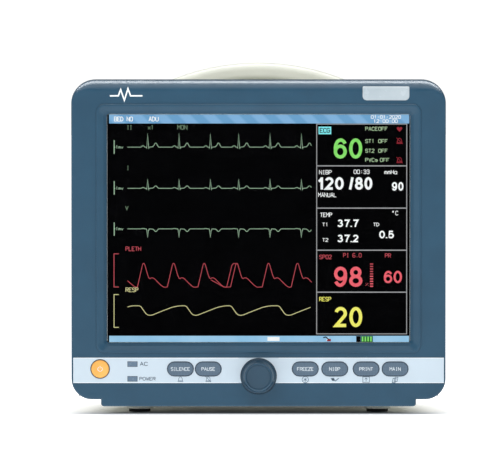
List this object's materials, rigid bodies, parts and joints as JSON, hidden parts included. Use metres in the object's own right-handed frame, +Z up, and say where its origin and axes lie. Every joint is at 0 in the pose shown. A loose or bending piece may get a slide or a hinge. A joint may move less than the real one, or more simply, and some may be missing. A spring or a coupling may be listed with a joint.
{
  "type": "bedside patient monitor",
  "caption": "Bedside patient monitor: wide screen in a rounded front shell, key strip with push-turn knob, rear housing with carry handle, side sockets and recorder.",
  "frame": {"origin": "on the table under the middle of the monitor's bounding box", "axes": "+Z up, the screen faces -Y, +X to the viewer's right when facing the screen"},
  "size_m": [0.31, 0.152, 0.2923],
  "materials": {
    "shell_blue": "satin moulded plastic",
    "cream_plastic": "fine-grained moulded plastic",
    "strip_film": "printed film, satin",
    "key_rubber": "silicone rubber, matte",
    "power_orange": "tinted plastic, lit from behind",
    "clear_window": "anti-glare window",
    "lamp_diffuser": "milky diffuser",
    "light_pipe": "clear light pipe",
    "knob_blue": "satin plastic",
    "foot_rubber": "matte rubber",
    "gasket_foam": "foam",
    "steel": "zinc plated",
    "brass": "machined",
    "board_green": "solder mask",
    "display_glass": "liquid crystal cell",
    "aluminium": "extruded",
    "dark_plastic": "moulded plastic",
    "grey_plastic": "moulded plastic",
    "white_plastic": "moulded plastic",
    "paper_white": "thermal paper",
    "roller_rubber": "ground rubber"
  },
  "bodies": {
    "case": {"alarm_board": "board_green", "alarm_lens": "lamp_diffuser", "battery_pack": "dark_plastic", "board_screws": "steel", "carry_handle": "cream_plastic", "case_screws": "steel", "contact_pins": "brass", "cuff_inlet": "steel", "cuff_pump": "grey_plastic", "display_bracket": "steel", "display_cell": "display_glass", "display_frame": "steel", "display_gasket": "gasket_foam", "display_window": "clear_window", "earth_stud": "brass", "ecg_socket": "grey_plastic", "fan_frame": "dark_plastic", "front_shell": "shell_blue", "heat_sink": "aluminium", "hinge_pins": "steel", "indicator_lights": "light_pipe", "key_strip_left": "strip_film", "key_strip_right": "strip_film", "key_switches": "dark_plastic", "keypad_board": "board_green", "knob_encoder": "dark_plastic", "loudspeaker": "dark_plastic", "main_board": "board_green", "module_shelf": "steel", "mount_inserts": "brass", "network_socket": "steel", "oximeter_socket": "grey_plastic", "parameter_board": "board_green", "patient_panel": "white_plastic", "power_inlet": "dark_plastic", "power_supply": "aluminium", "print_head": "aluminium", "probe_sockets": "grey_plastic", "rear_housing": "cream_plastic", "recorder_chassis": "dark_plastic", "recorder_panel": "cream_plastic", "rubber_feet": "foot_rubber", "standoffs": "brass", "terminal_panel": "steel"},
    "power_button": {"power_button": "power_orange"},
    "encoder_plunger": {"encoder_plunger": "white_plastic"},
    "control_knob": {"control_knob": "knob_blue", "encoder_shaft": "steel"},
    "recorder_door": {"recorder_door": "cream_plastic"},
    "platen_roller": {"platen_roller": "roller_rubber"},
    "paper_roll": {"paper_roll": "paper_white"},
    "recorder_latch": {"recorder_latch": "grey_plastic"},
    "battery_door": {"battery_door": "cream_plastic"},
    "fan_rotor": {"fan_rotor": "dark_plastic"},
    "key_silence": {"key_silence": "key_rubber"},
    "key_pause": {"key_pause": "key_rubber"},
    "key_freeze": {"key_freeze": "key_rubber"},
    "key_pressure": {"key_pressure": "key_rubber"},
    "key_print": {"key_print": "key_rubber"},
    "key_main": {"key_main": "key_rubber"}
  },
  "joints": [
    {"name": "power_press", "type": "slide", "parent": "case", "child": "power_button", "axis": [0, 1, 0], "range_m": [0, 0.0008], "stiffness_N_per_m": 1200},
    {"name": "silence_press", "type": "slide", "parent": "case", "child": "key_silence", "axis": [0, 1, 0], "range_m": [0, 0.0008], "stiffness_N_per_m": 1200},
    {"name": "pause_press", "type": "slide", "parent": "case", "child": "key_pause", "axis": [0, 1, 0], "range_m": [0, 0.0008], "stiffness_N_per_m": 1200},
    {"name": "freeze_press", "type": "slide", "parent": "case", "child": "key_freeze", "axis": [0, 1, 0], "range_m": [0, 0.0008], "stiffness_N_per_m": 1200},
    {"name": "pressure_press", "type": "slide", "parent": "case", "child": "key_pressure", "axis": [0, 1, 0], "range_m": [0, 0.0008], "stiffness_N_per_m": 1200},
    {"name": "print_press", "type": "slide", "parent": "case", "child": "key_print", "axis": [0, 1, 0], "range_m": [0, 0.0008], "stiffness_N_per_m": 1200},
    {"name": "main_press", "type": "slide", "parent": "case", "child": "key_main", "axis": [0, 1, 0], "range_m": [0, 0.0008], "stiffness_N_per_m": 1200},
    {"name": "knob_press", "type": "slide", "parent": "case", "child": "encoder_plunger", "axis": [0, 1, 0], "range_m": [0, 0.0005], "stiffness_N_per_m": 3000},
    {"name": "knob_turn", "type": "hinge", "parent": "encoder_plunger", "child": "control_knob", "pos_m": [0, -0.062, 0.0322], "axis": [0, 1, 0], "continuous": true},
    {"name": "recorder_door_open", "type": "hinge", "parent": "case", "child": "recorder_door", "pos_m": [0.1425, 0.024, 0.1242], "axis": [0, 1, 0], "range_deg": [0, 80]},
    {"name": "platen_turn", "type": "hinge", "parent": "recorder_door", "child": "platen_roller", "pos_m": [0.136, 0.024, 0.1885], "axis": [0, 1, 0], "continuous": true},
    {"name": "paper_turn", "type": "hinge", "parent": "case", "child": "paper_roll", "pos_m": [0.11, 0.024, 0.152], "axis": [0, 1, 0], "continuous": true},
    {"name": "recorder_latch_press", "type": "slide", "parent": "case", "child": "recorder_latch", "axis": [-1, 0, 0], "range_m": [0, 0.0015], "stiffness_N_per_m": 1200},
    {"name": "battery_door_open", "type": "hinge", "parent": "case", "child": "battery_door", "pos_m": [0.1425, 0.024, 0.0482], "axis": [0, 1, 0], "range_deg": [0, 85]},
    {"name": "fan_turn", "type": "hinge", "parent": "case", "child": "fan_rotor", "pos_m": [-0.086, 0.064, 0.19], "axis": [0, 1, 0], "continuous": true}
  ],
  "couplings": [
    {"joint": "platen_turn", "follows": "paper_turn", "ratio": -4}
  ]
}
